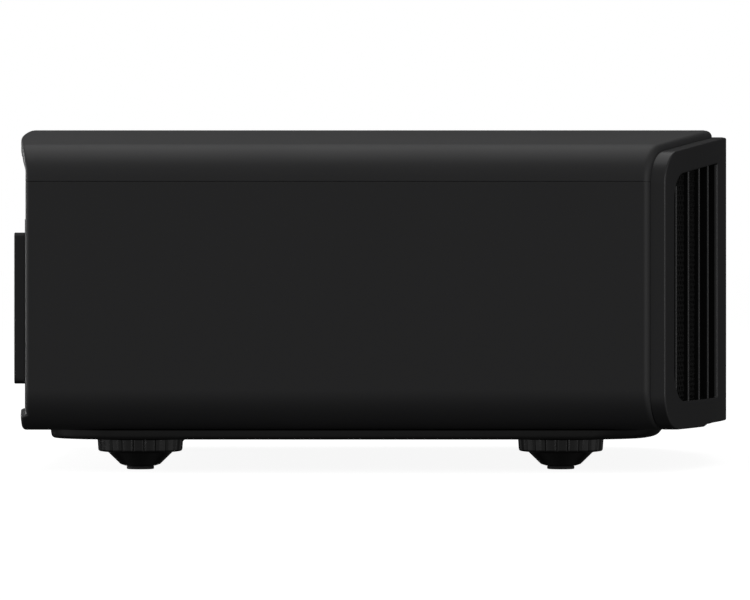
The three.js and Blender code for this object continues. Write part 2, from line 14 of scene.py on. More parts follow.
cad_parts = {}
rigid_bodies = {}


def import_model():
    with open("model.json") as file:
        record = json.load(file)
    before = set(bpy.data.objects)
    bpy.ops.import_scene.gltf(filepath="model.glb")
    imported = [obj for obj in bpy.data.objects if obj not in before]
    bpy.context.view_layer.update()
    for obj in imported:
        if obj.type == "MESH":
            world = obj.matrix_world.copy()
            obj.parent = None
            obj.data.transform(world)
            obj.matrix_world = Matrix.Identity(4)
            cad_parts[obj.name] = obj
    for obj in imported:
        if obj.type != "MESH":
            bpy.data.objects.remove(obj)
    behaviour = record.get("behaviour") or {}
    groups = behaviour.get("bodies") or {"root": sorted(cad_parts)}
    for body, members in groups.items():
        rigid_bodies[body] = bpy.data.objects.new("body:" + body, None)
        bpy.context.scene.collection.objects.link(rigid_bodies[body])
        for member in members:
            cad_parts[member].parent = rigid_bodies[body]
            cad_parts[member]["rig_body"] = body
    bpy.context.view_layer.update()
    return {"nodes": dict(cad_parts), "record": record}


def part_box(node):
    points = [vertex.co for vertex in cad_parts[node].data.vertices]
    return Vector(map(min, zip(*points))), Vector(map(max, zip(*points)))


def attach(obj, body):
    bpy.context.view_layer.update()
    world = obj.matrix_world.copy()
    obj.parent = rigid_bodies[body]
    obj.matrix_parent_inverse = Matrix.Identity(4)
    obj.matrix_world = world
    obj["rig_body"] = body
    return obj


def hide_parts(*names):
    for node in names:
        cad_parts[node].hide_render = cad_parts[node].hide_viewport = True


MM = 0.001

# The case seen from the front
HALF = 250
BOTTOM_Z = 28.5
CREST_Z = 237.4
DOME_RADIUS = 1838
SHOULDER_RADIUS = 27
LOWER_RADIUS = 28
SEAM_Z = 197.4
GAP = 0.3

# The case seen from above
FRONT_Y = -247.5
FLAT_HALF = 82
CREASE = 6
SWEEP_RADIUS = 650
SWEEP_START = math.radians(10.2)
FASCIA_DEPTH = 10
SIDE_REAR = 238.5
LIP_REAR = 247.2
LOW_LIP_REAR = 242.3

VENT_X = (123.5, 229.5)
VENT_TOP = 21.5
VENT_BOTTOM = 19.2
FIN_X = (222, 197.4, 172.7, 148)
LENS_Z = 131
FEET = {
    "front_left": (180, -126.4),
    "front_right": (-180, -126.4),
    "rear_left": (180, 163.7),
    "rear_right": (-180, 163.7),
}
GRIPS = 22

# Wall thicknesses of the fascia and its vents, and depths behind the front face
FACE_WALL = 3
VENT_WALL = 2
VENT_LIP = 2.4
VENT_DEPTH = 12.6
MESH_DEPTH = 13.4
MESH_THICKNESS = 0.7

# Places and sizes in metres, focal length in millimetres, lamp power in watts
CAMERA = (-3.75, 0.0018, 0.1511)
FOCAL_LENGTH = 248.3
FRAME_SHIFT = -1 / 15
LAMP_AIM = (0, 0, 0.12)
LAMPS = (
    ("overhead", (0.5, 0, 2.2), (2.5, 3), 18.5),
    ("left_strip", (-2.4, 3.2, 0.6), (0.7, 1.8), 16),
    ("right_strip", (-2.4, -3.2, 0.6), (0.7, 1.8), 14),
    ("far_side", (2.0, 2.9, 1.0), (0.9, 1.8), 34),
    ("rear", (1.0, 3.3, 0.9), (1.8, 1.2), 22),
)


# ---------------------------------------------------------------- outlines
def arc(cx, cy, radius, start, end, steps):
    """Points on an arc, angles in degrees."""
    angles = (math.radians(start + (end - start) * i / steps) for i in range(steps + 1))
    return [(cx + radius * math.cos(a), cy + radius * math.sin(a)) for a in angles]


def fillet(corners, steps=5):
    """A closed outline from (a, b, radius) corners, each rounded in the same number of steps."""
    points = []
    for i, (a, b, radius) in enumerate(corners):
        here = Vector((a, b))
        if not radius:
            points.append(here)
            continue
        back = (Vector(corners[i - 1][:2]) - here).normalized()
        ahead = (Vector(corners[(i + 1) % len(corners)][:2]) - here).normalized()
        half = back.angle(ahead) / 2
        centre = here + (back + ahead).normalized() * (radius / math.sin(half))
        reach = radius / math.tan(half)
        first, last = here + back * reach - centre, here + ahead * reach - centre
        points += [centre + first.slerp(last, k / steps) * radius for k in range(steps + 1)]
    return [tuple(p) for p in points]


def offset(loop, distance):
    """The loop moved to its left by distance, so into the material of a loop that has it there."""
    moved = []
    for i, point in enumerate(loop):
        here = Vector(point)
        before = (here - Vector(loop[i - 1])).normalized()
        after = (Vector(loop[(i + 1) % len(loop)]) - here).normalized()
        left = Vector((-before.y - after.y, before.x + after.x)).normalized()
        stretch = max(left.dot(Vector((-before.y, before.x))), 0.3)
        moved.append(tuple(here + left * (distance / stretch)))
    return moved


def case_outline(side=0, top=0, bottom=0, upper=None, lower=None, steps=12):
    """The case's section drawn in by the insets, anticlockwise as (x, z) from the lower right."""
    half = HALF - side
    floor = BOTTOM_Z + bottom
    dome = DOME_RADIUS - top
    dome_z = CREST_Z - DOME_RADIUS
    upper = SHOULDER_RADIUS - side if upper is None else upper
    lower = LOWER_RADIUS - side if lower is None else lower
    sx = half - upper
    sz = dome_z + math.sqrt((dome - upper) ** 2 - sx**2)
    meet = math.degrees(math.atan2(sz - dome_z, sx))
    return [
        *arc(half - lower, floor + lower, lower, -90, 0, steps),
        *arc(sx, sz, upper, 0, meet, steps),
        *arc(0, dome_z, dome, meet, 180 - meet, 40)[1:-1],
        *arc(-sx, sz, upper, 180 - meet, 180, steps),
        *arc(lower - half, floor + lower, lower, 180, 270, steps),
    ]


def front_y(x):
    """Y of the front face at x: a flat middle, a soft crease, then an arc back to the side."""
    w = abs(x)
    if w <= FLAT_HALF - CREASE:
        return FRONT_Y
    if w < FLAT_HALF + CREASE:
        share = (w - FLAT_HALF + CREASE) / (2 * CREASE)
        return FRONT_Y + (front_y(FLAT_HALF + CREASE) - FRONT_Y) * share**2
    turned = math.asin(math.sin(SWEEP_START) + (w - FLAT_HALF) / SWEEP_RADIUS)
    return FRONT_Y + SWEEP_RADIUS * (math.cos(SWEEP_START) - math.cos(turned))


def smooth(value, low, high):
    """0 at low and below, 1 at high and above, with an eased step between."""
    t = min(max((value - low) / (high - low), 0), 1)
    return t * t * (3 - 2 * t)


# ---------------------------------------------------------------- meshes
class Skin:
    """Collects points and faces in millimetres, ring by ring."""

    def __init__(self):
        self.points = []
        self.faces = []

    def ring(self, points):
        first = len(self.points)
        self.points += [tuple(p) for p in points]
        return list(range(first, len(self.points)))

    def bridge(self, a, b, closed=True):
        n = len(a)
        for i in range(n if closed else n - 1):
            j = (i + 1) % n
            self.faces.append((a[i], a[j], b[j], b[i]))

    def chain(self, rings, closed=True):
        for a, b in zip(rings, rings[1:]):
            self.bridge(a, b, closed)

    def cap(self, *rings):
        """Fills the first ring, leaving the others as holes."""
        loops = [[Vector(self.points[i]) for i in ring] for ring in rings]
        flat = [i for ring in rings for i in ring]
        self.faces += [tuple(flat[i] for i in t) for t in tessellate_polygon(loops)]

    def mesh(self, name):
        mesh = bpy.data.meshes.new(name)
        mesh.from_pydata([Vector(p) * MM for p in self.points], [], self.faces)
        return mesh


def soften(obj, angle=38):
    """Smooth shading that keeps corners sharper than angle and large faces flat."""
    for polygon in obj.data.polygons:
        polygon.use_smooth = True
    obj.data.set_sharp_from_angle(angle=math.radians(angle))
    modifier = obj.modifiers.new("weighted", "WEIGHTED_NORMAL")
    modifier.keep_sharp = True


def place(mesh, look, node=None, body=None, angle=38):
    """Makes an object of a mesh that moves with, and may stand for, a CAD node."""
    bm = bmesh.new()
    bm.from_mesh(mesh)
    bmesh.ops.remove_doubles(bm, verts=bm.verts, dist=1e-7)
    bmesh.ops.recalc_face_normals(bm, faces=bm.faces)
    bm.to_mesh(mesh)
    bm.free()
    obj = bpy.data.objects.new(mesh.name, mesh)
    bpy.context.scene.collection.objects.link(obj)
    mesh.materials.clear()
    mesh.materials.append(LOOKS[look][0])
    soften(obj, angle)
    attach(obj, body or frame["nodes"][node]["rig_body"])
    if node:
        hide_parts(node)
    return obj


def round_edges(bm, edges, width, segments):
    bmesh.ops.bevel(
        bm,
        geom=edges,
        offset=width * MM,
        segments=segments,
        profile=0.5,
        affect="EDGES",
        clamp_overlap=True,
    )


def refine(node, look, width=0.6, segments=3, angle=25, rim=0):
    """A copy of a CAD node with its corners rounded, those round its rear face by rim if given."""
    mesh = frame["nodes"][node].data.copy()
    mesh.name = f"{node}_look"
    bm = bmesh.new()
    bm.from_mesh(mesh)
    bmesh.ops.remove_doubles(bm, verts=bm.verts, dist=1e-6)
    bmesh.ops.dissolve_limit(bm, angle_limit=math.radians(0.5), verts=bm.verts, edges=bm.edges)
    low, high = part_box(node)

    def on_rim(edge):
        """True for an edge of the node's rear face that lies in one of its box's sides."""
        a, b = (v.co for v in edge.verts)
        sides = ((0, low[0]), (0, high[0]), (2, low[2]), (2, high[2]))
        flush = any(abs(a[i] - at) + abs(b[i] - at) < 1e-5 for i, at in sides)
        return flush and abs(a.y - high[1]) + abs(b.y - high[1]) < 1e-5

    sharp = [e for e in bm.edges if len(e.link_faces) == 2]
    sharp = [e for e in sharp if e.calc_face_angle() > math.radians(angle)]
    if rim:
        round_edges(bm, [e for e in sharp if on_rim(e)], rim, 6)
        sharp = [e for e in bm.edges if len(e.link_faces) == 2]
        sharp = [e for e in sharp if e.calc_face_angle() > math.radians(angle)]
    round_edges(bm, sharp, width, segments)
    for v in bm.verts:
        v.co = [min(max(at, least), most) for at, least, most in zip(v.co, low, high)]
    bm.to_mesh(mesh)
    bm.free()
    return place(mesh, look, node)


def lathe(name, profile, centre, look, node=None, body=None, sides=96, axis="Y", wobble=None):
    """A closed (radius, height) profile turned about Y or Z through centre."""
    skin = Skin()
    rings = []
    for i in range(sides):
        a = 2 * math.pi * i / sides
        points = []
        for radius, height in profile:
            r = radius + (wobble(radius, a) if wobble else 0)
            u, v = r * math.cos(a), r * math.sin(a)
            if axis == "Y":
                points.append((centre[0] + u, centre[1] + height, centre[2] + v))
            else:
                points.append((centre[0] + u, centre[1] + v, centre[2] + height))
        rings.append(skin.ring(points))
    skin.chain([*rings, rings[0]])
    return place(skin.mesh(name), look, node, body)


# ---------------------------------------------------------------- case
def shoulder_centre():
    """Centre of the left shoulder's arc as (x, z)."""
    cx = HALF - SHOULDER_RADIUS
    return cx, CREST_Z - DOME_RADIUS + math.sqrt((DOME_RADIUS - SHOULDER_RADIUS) ** 2 - cx**2)


def shoulder_path(start, end, steps):
    """(x, z, normal x, normal z) round the left shoulder, angles in degrees."""
    cx, cz = shoulder_centre()
    out = []
    for i in range(steps + 1):
        a = math.radians(start + (end - start) * i / steps)
        c, s = math.cos(a), math.sin(a)
        out.append((cx + SHOULDER_RADIUS * c, cz + SHOULDER_RADIUS * s, c, s))
    return out


def shoulder_angle(z):
    """Angle in degrees at which the shoulder's arc is at height z."""
    return math.degrees(math.asin((z - shoulder_centre()[1]) / SHOULDER_RADIUS))


def mirrored(stations):
    """The same stations on the other side, in the order that keeps the path going one way."""
    return [(-x, z, -nx, nz) for x, z, nx, nz in reversed(stations)]


def ease_end(stations, radius, steps=4):
    """Stations that take the place of the first two and round the end off, as (station, inset)."""
    (x, z, nx, nz), after = stations[0], stations[1]
    along = Vector((after[0] - x, after[1] - z)).normalized()
    eased = []
    for k in range(steps):
        a = math.pi / 2 * k / steps
        step = radius * (1 - math.cos(a))
        spot = (x + along.x * step, z + along.y * step, nx, nz)
        eased.append((spot, radius * (1 - math.sin(a))))
    spot = (x + along.x * radius, z + along.y * radius, nx, nz)
    return [*eased, (spot, 0)]


def sweep_shell(name, stations, profile, look, node, end_round=0.3):
    """Carries a (depth, y) profile along stations that hold a point and its outward normal."""
    head = ease_end(stations, end_round)
    tail = ease_end(stations[::-1], end_round)[::-1]
    skin = Skin()
    rings = []
    for (x, z, nx, nz), inset in [*head, *((s, 0) for s in stations[2:-2]), *tail]:
        joint, rear, corners = profile(x, z)
        points = []
        for depth, y in fillet(corners):
            depth = max(depth, inset)
            y = min(max(y, joint + inset), rear - inset)
            px = x - nx * depth
            # Near the joint the shell follows the curve of the front.
            if y < joint + 30:
                y += front_y(px) - front_y(x)
            points.append((px, y, z - nz * depth))
        rings.append(skin.ring(points))
    skin.chain(rings)
    skin.cap(rings[0])
    skin.cap(rings[-1])
    return place(skin.mesh(name), look, node)


def top_cover():
    """Domed cover: a rolled front lip, and at the rear a lip that fades out down the sides."""

    def profile(x, z):
        joint = front_y(x) + FASCIA_DEPTH
        top = smooth(z, 196, 222)
        shoulder_rise = 3.4
        rear = SIDE_REAR + shoulder_rise * smooth(z, 203, 226)
        rear += (LIP_REAR - SIDE_REAR - shoulder_rise) * smooth(z, 221, 232)
        deep = 8.5 + 3.7 * smooth(z, 224, 234)
        wall = 3.5
        corners = [
            (0, joint, 3.7 + 0.9 * top),
            (7.5, joint, 0.3),
            (7.5, joint + 3, 0.3),
            (wall, joint + 3.4, 0.3),
            (wall, rear - 2.6, 0.3),
            (deep, rear - 2.6, 0.3),
            (deep, rear, 0.6),
            (0, rear, 2.4),
        ]
        return joint, rear, corners

    meet = math.degrees(math.acos((HALF - SHOULDER_RADIUS) / (DOME_RADIUS - SHOULDER_RADIUS)))
    right = shoulder_path(shoulder_angle(SEAM_Z + GAP / 2), meet, 22)
    dome = []
    for i in range(1, 48):
        a = math.radians(meet + (180 - 2 * meet) * i / 48)
        c, s = math.cos(a), math.sin(a)
        dome.append((DOME_RADIUS * c, CREST_Z - DOME_RADIUS + DOME_RADIUS * s, c, s))
    stations = [*right, *dome, *mirrored(right)]
    return sweep_shell("top_cover_shell", stations, profile, "case", "top_cover")


def side_panels():
    """Side walls that turn under the case, rounded along their front and rear edges."""

    def profile(x, z):
        joint = front_y(x) + FASCIA_DEPTH
        rear = SIDE_REAR + (LOW_LIP_REAR - SIDE_REAR) * smooth(-z, -39, -37)
        wall = 3
        corners = [
            (0, joint, 3.7),
            (6.5, joint, 0.3),
            (6.5, joint + 3, 0.3),
            (wall, joint + 3.4, 0.3),
            (wall, rear - 3, 0.3),
            (8.5, rear - 3, 0.3),
            (8.5, rear, 0.4),
            (0, rear, 2.8),
        ]
        return joint, rear, corners

    corner_x, corner_z = HALF - LOWER_RADIUS, BOTTOM_Z + LOWER_RADIUS
    down = shoulder_path(shoulder_angle(SEAM_Z), 0, 4)
    down += [(HALF, z, 1, 0) for z in (160, 120, 80)]
    for i in range(37):
        a = math.radians(-90 * i / 36)
        c, s = math.cos(a), math.sin(a)
        down.append((corner_x + LOWER_RADIUS * c, corner_z + LOWER_RADIUS * s, c, s))
    down += [(x, BOTTOM_Z, 0, -1) for x in (214, 210, 205)]
    sweep_shell("side_shell_left", down, profile, "case", "left_side_panel")
    sweep_shell("side_shell_right", mirrored(down), profile, "case", "right_side_panel")


# ---------------------------------------------------------------- front
def bend_to_front(mesh):
    """Cuts a flat front part along X and moves every point back onto the front curve."""
    bm = bmesh.new()
    bm.from_mesh(mesh)
    lines = [FLAT_HALF + CREASE * k / 2 for k in (-2, -1, 0, 1, 2)]
    lines += [100 + 10 * k for k in range(15)]
    for x in [*lines, *(-x for x in lines)]:
        bmesh.ops.bisect_plane(
            bm,
            geom=[*bm.verts, *bm.edges, *bm.faces],
            dist=0.0003,
            plane_co=(x * MM, 0, 0),
            plane_no=(1, 0, 0),
        )
    for v in bm.verts:
        v.co.y += front_y(v.co.x / MM) * MM
    bm.to_mesh(mesh)
    bm.free()
    return mesh


def vent_outline(steps=10):
    """The left vent's opening as (x, z), anticlockwise."""
    inner, outer = VENT_X
    whole = case_outline(HALF - outer, VENT_TOP, VENT_BOTTOM, upper=18, lower=20, steps=steps)
    kept = [p for p in whole if p[0] > inner + 2]
    top, bottom = kept[-1][1] + 0.2, BOTTOM_Z + VENT_BOTTOM
    corner = 1.2
    return [
        *arc(inner + corner, bottom + corner, corner, 180, 270, 4),
        *kept,
        *arc(inner + corner, top - corner, corner, 90, 180, 4),
    ]


def rounded_mouth(skin, loop, radius, steps=4):
    """Rings from the front face into an opening, or over an outer edge, round its lip."""
    rings = []
    for k in range(steps + 1):
        a = math.pi / 2 * k / steps
        inset, depth = radius * (1 - math.sin(a)), radius * (1 - math.cos(a))
        rings.append(skin.ring([(x, depth, z) for x, z in offset(loop, inset)]))
    return rings


def front_fascia():
    """Swept front with a flange all round, two deep vent mouths and the lens opening."""
    skin = Skin()
    outline = case_outline(4, 5, 0.1, steps=36)
    outline += [(x, BOTTOM_Z + up) for x, up in ((-165, 0.1), (-153, 2), (153, 2), (165, 0.1))]
    vent = vent_outline()[::-1]
    vents = [vent, [(-x, z) for x, z in reversed(vent)]]
    lens = [(x, LENS_Z + z) for x, z in arc(0, 0, 76, 360, 0, 72)[:-1]]
    window = fillet([(-11.3, 37.7, 1), (-11.3, 48.3, 1), (11.3, 48.3, 1), (11.3, 37.7, 1)])

    rim = rounded_mouth(skin, outline, 1.1)
    back = FASCIA_DEPTH - 0.1
    rim.append(skin.ring([(x, back, z) for x, z in outline]))
    for depth in (back, FACE_WALL):
        rim.append(skin.ring([(x, depth, z) for x, z in offset(outline, FACE_WALL)]))
    skin.chain(rim)

    fronts, backs = [], []
    for loop in vents:
        mouth = rounded_mouth(skin, loop, 1.4)
        for depth in (VENT_LIP, VENT_DEPTH):
            mouth.append(skin.ring([(x, depth, z) for x, z in loop]))
        for depth in (VENT_DEPTH, FACE_WALL):
            mouth.append(skin.ring([(x, depth, z) for x, z in offset(loop, VENT_WALL)]))
        skin.chain(mouth)
        fronts.append(mouth[0])
        backs.append(mouth[-1])
    for loop in (lens, window):
        mouth = rounded_mouth(skin, loop, 0.4)
        mouth.append(skin.ring([(x, FACE_WALL, z) for x, z in loop]))
        skin.chain(mouth)
        fronts.append(mouth[0])
        backs.append(mouth[-1])
    skin.cap(rim[0], *fronts)
    skin.cap(rim[-1], *backs)
    shell = place(bend_to_front(skin.mesh("fascia_shell")), "fascia", "front_fascia")
    paint_vent_shade(shell)


def paint_vent_shade(shell):
    """Paints the vents' walls near-black as painted shade, from just behind the lip and short of
    the flange.
    """
    shell.data.materials.append(LOOKS["painted_shade"][0])
    inner, outer = VENT_X
    reach = VENT_WALL + 0.2
    low, high = 45, 213
    for polygon in shell.data.polygons:
        x, y, z = (c / MM for c in polygon.center)
        in_vent = inner - reach < abs(x) < outer + reach and low < z < high
        if in_vent and y - front_y(x) > VENT_LIP + 0.1:
            polygon.material_index = 1


def vent_top(x, grow=0.0):
    """Height of a vent opening's top edge at x."""
    radius = DOME_RADIUS - VENT_TOP + grow
    return CREST_Z - DOME_RADIUS + math.sqrt(radius**2 - x**2)


def bars(name, side, look, front, deep, width):
    """Upright bars across a vent, from front to deep behind the face, with round front edges."""
    sign = 1 if side == "left" else -1
    skin = Skin()
    for x in FIN_X:
        y = front_y(x) + front
        top = vent_top(x, 1.2)
        low = BOTTOM_Z + VENT_BOTTOM - 1
        if x == FIN_X[0]:
            top, low = top - 9, low + 9
        half = width / 2
        round_edge = 0.95 * half
        plan = fillet(
            [
                (x - half, y, round_edge),
                (x + half, y, round_edge),
                (x + half, y + deep, 0),
                (x - half, y + deep, 0),
            ]
        )
        rings = [skin.ring([(sign * px, py, z) for px, py in plan]) for z in (low, top)]
        skin.chain(rings)
        skin.cap(rings[0])
        skin.cap(rings[1])
    place(skin.mesh(f"{name}_{side}"), look, body="case")


def vent_fins():
    """Each blade is a nose with the fascia's look on a slimmer root painted near-black as the shade
    between the blades.
    """
    for side in ("left", "right"):
        bars("fin_noses", side, "fascia", 1.5, 1.3, 2)
        bars("fin_roots", side, "painted_shade", 2.6, 2.6, 1.5)


def vent_meshes():
    """Sheet steel behind each vent, with staggered round holes and a plain outer margin."""
    pitch, hole, plain_margin = 4.0, 1.35, 7
    row = pitch * math.sqrt(3) / 2
    inner, outer = VENT_X
    corner_r = pitch / math.sqrt(3)
    for side, sign in (("left", 1), ("right", -1)):
        skin = Skin()
        rows = int((vent_top(inner) - BOTTOM_Z - 16) / row) + 2
        for r in range(rows):
            z = BOTTOM_Z + 16.5 + row * r
            shift = pitch / 2 * (r % 2)
            columns = int((outer - inner + 7) / pitch) + 1
            for c in range(columns):
                x = inner - 0.5 + shift + pitch * c
                if z > vent_top(x) + 0.5 or x > outer + 2.5:
                    continue
                rim, bore = [], []
                for k in range(12):
                    a = math.radians(30 * k)
                    reach = corner_r if k % 2 else corner_r * math.sqrt(3) / 2
                    for ring, radius in ((rim, reach), (bore, hole)):
                        px = x + radius * math.cos(a)
                        ring.append((sign * px, front_y(px) + MESH_DEPTH, z + radius * math.sin(a)))
                if x > outer - plain_margin:
                    skin.cap(skin.ring(rim))
                else:
                    skin.bridge(skin.ring(rim), skin.ring(bore))
        sheet = place(skin.mesh(f"vent_sheet_{side}"), "mesh", f"vent_mesh_{side}")
        sheet.modifiers.clear()
        thick = sheet.modifiers.new("thickness", "SOLIDIFY")
        thick.thickness = MESH_THICKNESS * MM
        thick.offset = 0


# ---------------------------------------------------------------- lens
def bulge(radius, edge, rise, steps=16):
    """Half the section of a convex face, from its apex out to its edge."""
    angles = (math.pi / 2 * k / steps for k in range(steps, -1, -1))
    return [(max(radius * math.cos(a), 0.01), edge - rise * math.sin(a)) for a in angles]


def lens_parts():
    centre = (0, 0, LENS_Z)
    ring = fillet(
        [
            (58, -236, 0.5),
            (60, -238.5, 0.6),
            (72.2, -246.4, 1),
            (75.6, -246.9, 0.8),
            (75.6, -244.3, 0),
            (79, -244.3, 0.2),
            (79, -241.2, 0.2),
            (66, -236, 0.3),
        ]
    )
    lathe("lens_trim", ring, centre, "gloss", "lens_trim_ring", sides=128)
    grooves = []
    for k in range(9):
        y = -222.6 + 1.05 * k
        grooves += [(40.6, y), (41.4, y + 0.5)]
    cell = [(45.4, -185.2), (45.4, -222.4), (44.8, -222.9), (41.4, -222.9)]
    cell += [*grooves, (38.2, -185.2)]
    lathe("front_cell", cell, centre, "satin", "front_lens_cell", sides=96)
    hollow = [(39.9, -213.2), (30, -215), (15, -216.6), (0.01, -217)]
    lathe("front_glass", bulge(40, -213.4, 10.4) + hollow, centre, "glass", "front_lens")
    back = [(33, -192), (0.01, -192)]
    lathe("inner_glass", bulge(33, -196, 7) + back, centre, "glass", body="front_cell")


# ---------------------------------------------------------------- feet
def knurl(radius, a):
    """Narrow grooves between broad grips, round the knob's disc only."""
    disc_radius, groove_depth, crown = 26, 1.1, 0.25
    if radius < disc_radius:
        return 0
    phase = (a * GRIPS / math.tau) % 1 - 0.5
    groove = math.exp(-((phase * 9) ** 2))
    return -groove_depth * groove + crown * phase**2


def feet():
    knob = fillet(
        [
            (3.3, 2.5, 0.2),
            (10.6, 2.5, 0.3),
            (13.7, 3.5, 0.6),
            (22.2, 11.8, 0.8),
            (26.4, 12.3, 0.6),
            (28.9, 12.7, 1.6),
            (29.6, 21.4, 0.6),
            (5, 21.4, 0),
            (5, 42, 0.8),
            (0.01, 42, 0),
            (0.01, 11.3, 0),
            (3.3, 11.3, 0),
        ],
        steps=4,
    )
    pad = fillet(
        [
            (0.01, 0.05, 0),
            (9.4, 0.05, 0.7),
            (9.4, 2.2, 0.3),
            (3, 2.2, 0),
            (3, 11, 0),
            (0.01, 11, 0),
        ]
    )
    for name, (x, y) in FEET.items():
        node = f"foot_knob_{name}"
        at = (x, y, 0)
        lathe(f"knob_{name}", knob, at, "foot", node, sides=20 * GRIPS, axis="Z", wobble=knurl)
        lathe(f"sole_{name}", pad, at, "rubber", f"foot_pad_{name}", axis="Z")


# ---------------------------------------------------------------- base
def base_tray():
    """Shallow pan whose drafted wall turns under at its foot, in a long curve at the front end."""
    half, front, rear, corner = 228, -196.5, 225.5, 46
    low, high = 21.9, BOTTOM_Z - GAP
    skin = Skin()
    rings = []
    for k in range(13):
        drop = math.sin(math.pi / 2 * k / 12)
        inset, pulled = 0.8 * drop + 1.6 * drop**8, 5 * drop + 7 * drop**6
        corners = [
            (half - inset, front + pulled, corner),
            (half - inset, rear - inset, corner),
            (inset - half, rear - inset, corner),
            (inset - half, front + pulled, corner),
        ]
        z = high + (low - high) * drop
        rings.append(skin.ring([(x, y, z) for x, y in fillet(corners, steps=16)]))
    skin.chain(rings)
    bores = []
    for x, y in FEET.values():
        circle = arc(x, y, 5.6, 0, 360, 24)[:-1]
        bores.append([skin.ring([(px, py, z) for px, py in circle]) for z in (high, low)])
        skin.chain(bores[-1])
    skin.cap(rings[0], *(bore[0] for bore in bores))
    skin.cap(rings[-1], *(bore[1] for bore in bores))
    return place(skin.mesh("tray_pan"), "pan", "base_tray", angle=30)


# ---------------------------------------------------------------- rear
def screws():
    """Round-headed case screws in the rear panel."""
    head = [(0.01, 0.9), (2, 0.75), (2.9, 0.25), (3.1, 0), (3.1, -0.6), (0.01, -0.6)]
    rear = [(x, z) for z in (186, 205) for x in (-205, -100, 0, 100, 205) if z < 200 or x]
    for i, (x, z) in enumerate(rear):
        lathe(f"rear_screw_{i}", head, (x, 238, z), "screw", body="case", sides=24)


def socket(node):
    """A plated socket rim round a pocket in matt near-black, painted shade for its depth."""
    port = refine(node, "plated", 0.25, segments=2)
    port.data.materials.append(LOOKS["painted_shade"][0])
    rim_depth = 1
    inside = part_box(node)[1][1] - rim_depth * MM
    for polygon in port.data.polygons:
        polygon.material_index = int(polygon.center.y < inside)


def rear_parts():
    refine("rear_panel", "case", 0.5)
    refine("bottom_cover", "case", 0.6)
    for side in ("left", "right"):
        refine(f"filter_cover_{side}", "case", 0.5, rim=2.4)
        refine(f"air_filter_{side}", "foam", 0.5)
        refine(f"shutter_{side}", "satin", 0.4)
    for node in ("serial_port", "lan_port", "hdmi_port_1", "hdmi_port_2", "usb_port"):
        socket(node)
    for node in ("trigger_jack", "ac_inlet", "direction_pad"):
        refine(node, "satin", 0.5)
    for key in ("power", "input", "menu", "back", "ok"):
        refine(f"{key}_button", "satin", 0.5)
    for node in ("remote_window_rear", "remote_window_front", "indicator_window"):
        refine(node, "gloss", 0.4)


# ---------------------------------------------------------------- materials
def shader(name, slot, color, roughness, **inputs):
    """A Principled material whose colour and roughness wander slightly, with a fine grain bump."""
    grain = inputs.pop("grain", 1800)
    depth = inputs.pop("depth", 0.00003)
    wander = inputs.pop("wander", 0.08)
    m = bpy.data.materials.new(name)
    m.use_nodes = True
    nodes, links = m.node_tree.nodes, m.node_tree.links
    principled = nodes["Principled BSDF"]
    for key, value in inputs.items():
        principled.inputs[key.replace("_", " ")].default_value = value

    where = nodes.new("ShaderNodeTexCoord")
    broad = nodes.new("ShaderNodeTexNoise")
    broad.inputs["Scale"].default_value = 9
    broad.inputs["Detail"].default_value = 4
    links.new(where.outputs["Object"], broad.inputs["Vector"])

    tone = nodes.new("ShaderNodeMix")
    tone.data_type = "RGBA"
    low = [c * (1 - wander) for c in color]
    high = [c * (1 + wander) for c in color]
    tone.inputs["A"].default_value = (*low, 1)
    tone.inputs["B"].default_value = (*high, 1)
    links.new(broad.outputs["Fac"], tone.inputs["Factor"])
    links.new(tone.outputs["Result"], principled.inputs["Base Color"])

    rough = nodes.new("ShaderNodeMapRange")
    rough.inputs["To Min"].default_value = roughness * (1 - wander)
    rough.inputs["To Max"].default_value = roughness * (1 + wander)
    links.new(broad.outputs["Fac"], rough.inputs["Value"])
    links.new(rough.outputs["Result"], principled.inputs["Roughness"])

    fine = nodes.new("ShaderNodeTexNoise")
    fine.inputs["Scale"].default_value = grain
    fine.inputs["Detail"].default_value = 3
    links.new(where.outputs["Object"], fine.inputs["Vector"])
    bump = nodes.new("ShaderNodeBump")
    bump.inputs["Distance"].default_value = depth
    bump.inputs["Strength"].default_value = 1
    links.new(fine.outputs["Fac"], bump.inputs["Height"])
    links.new(bump.outputs["Normal"], principled.inputs["Normal"])
    return m, slot


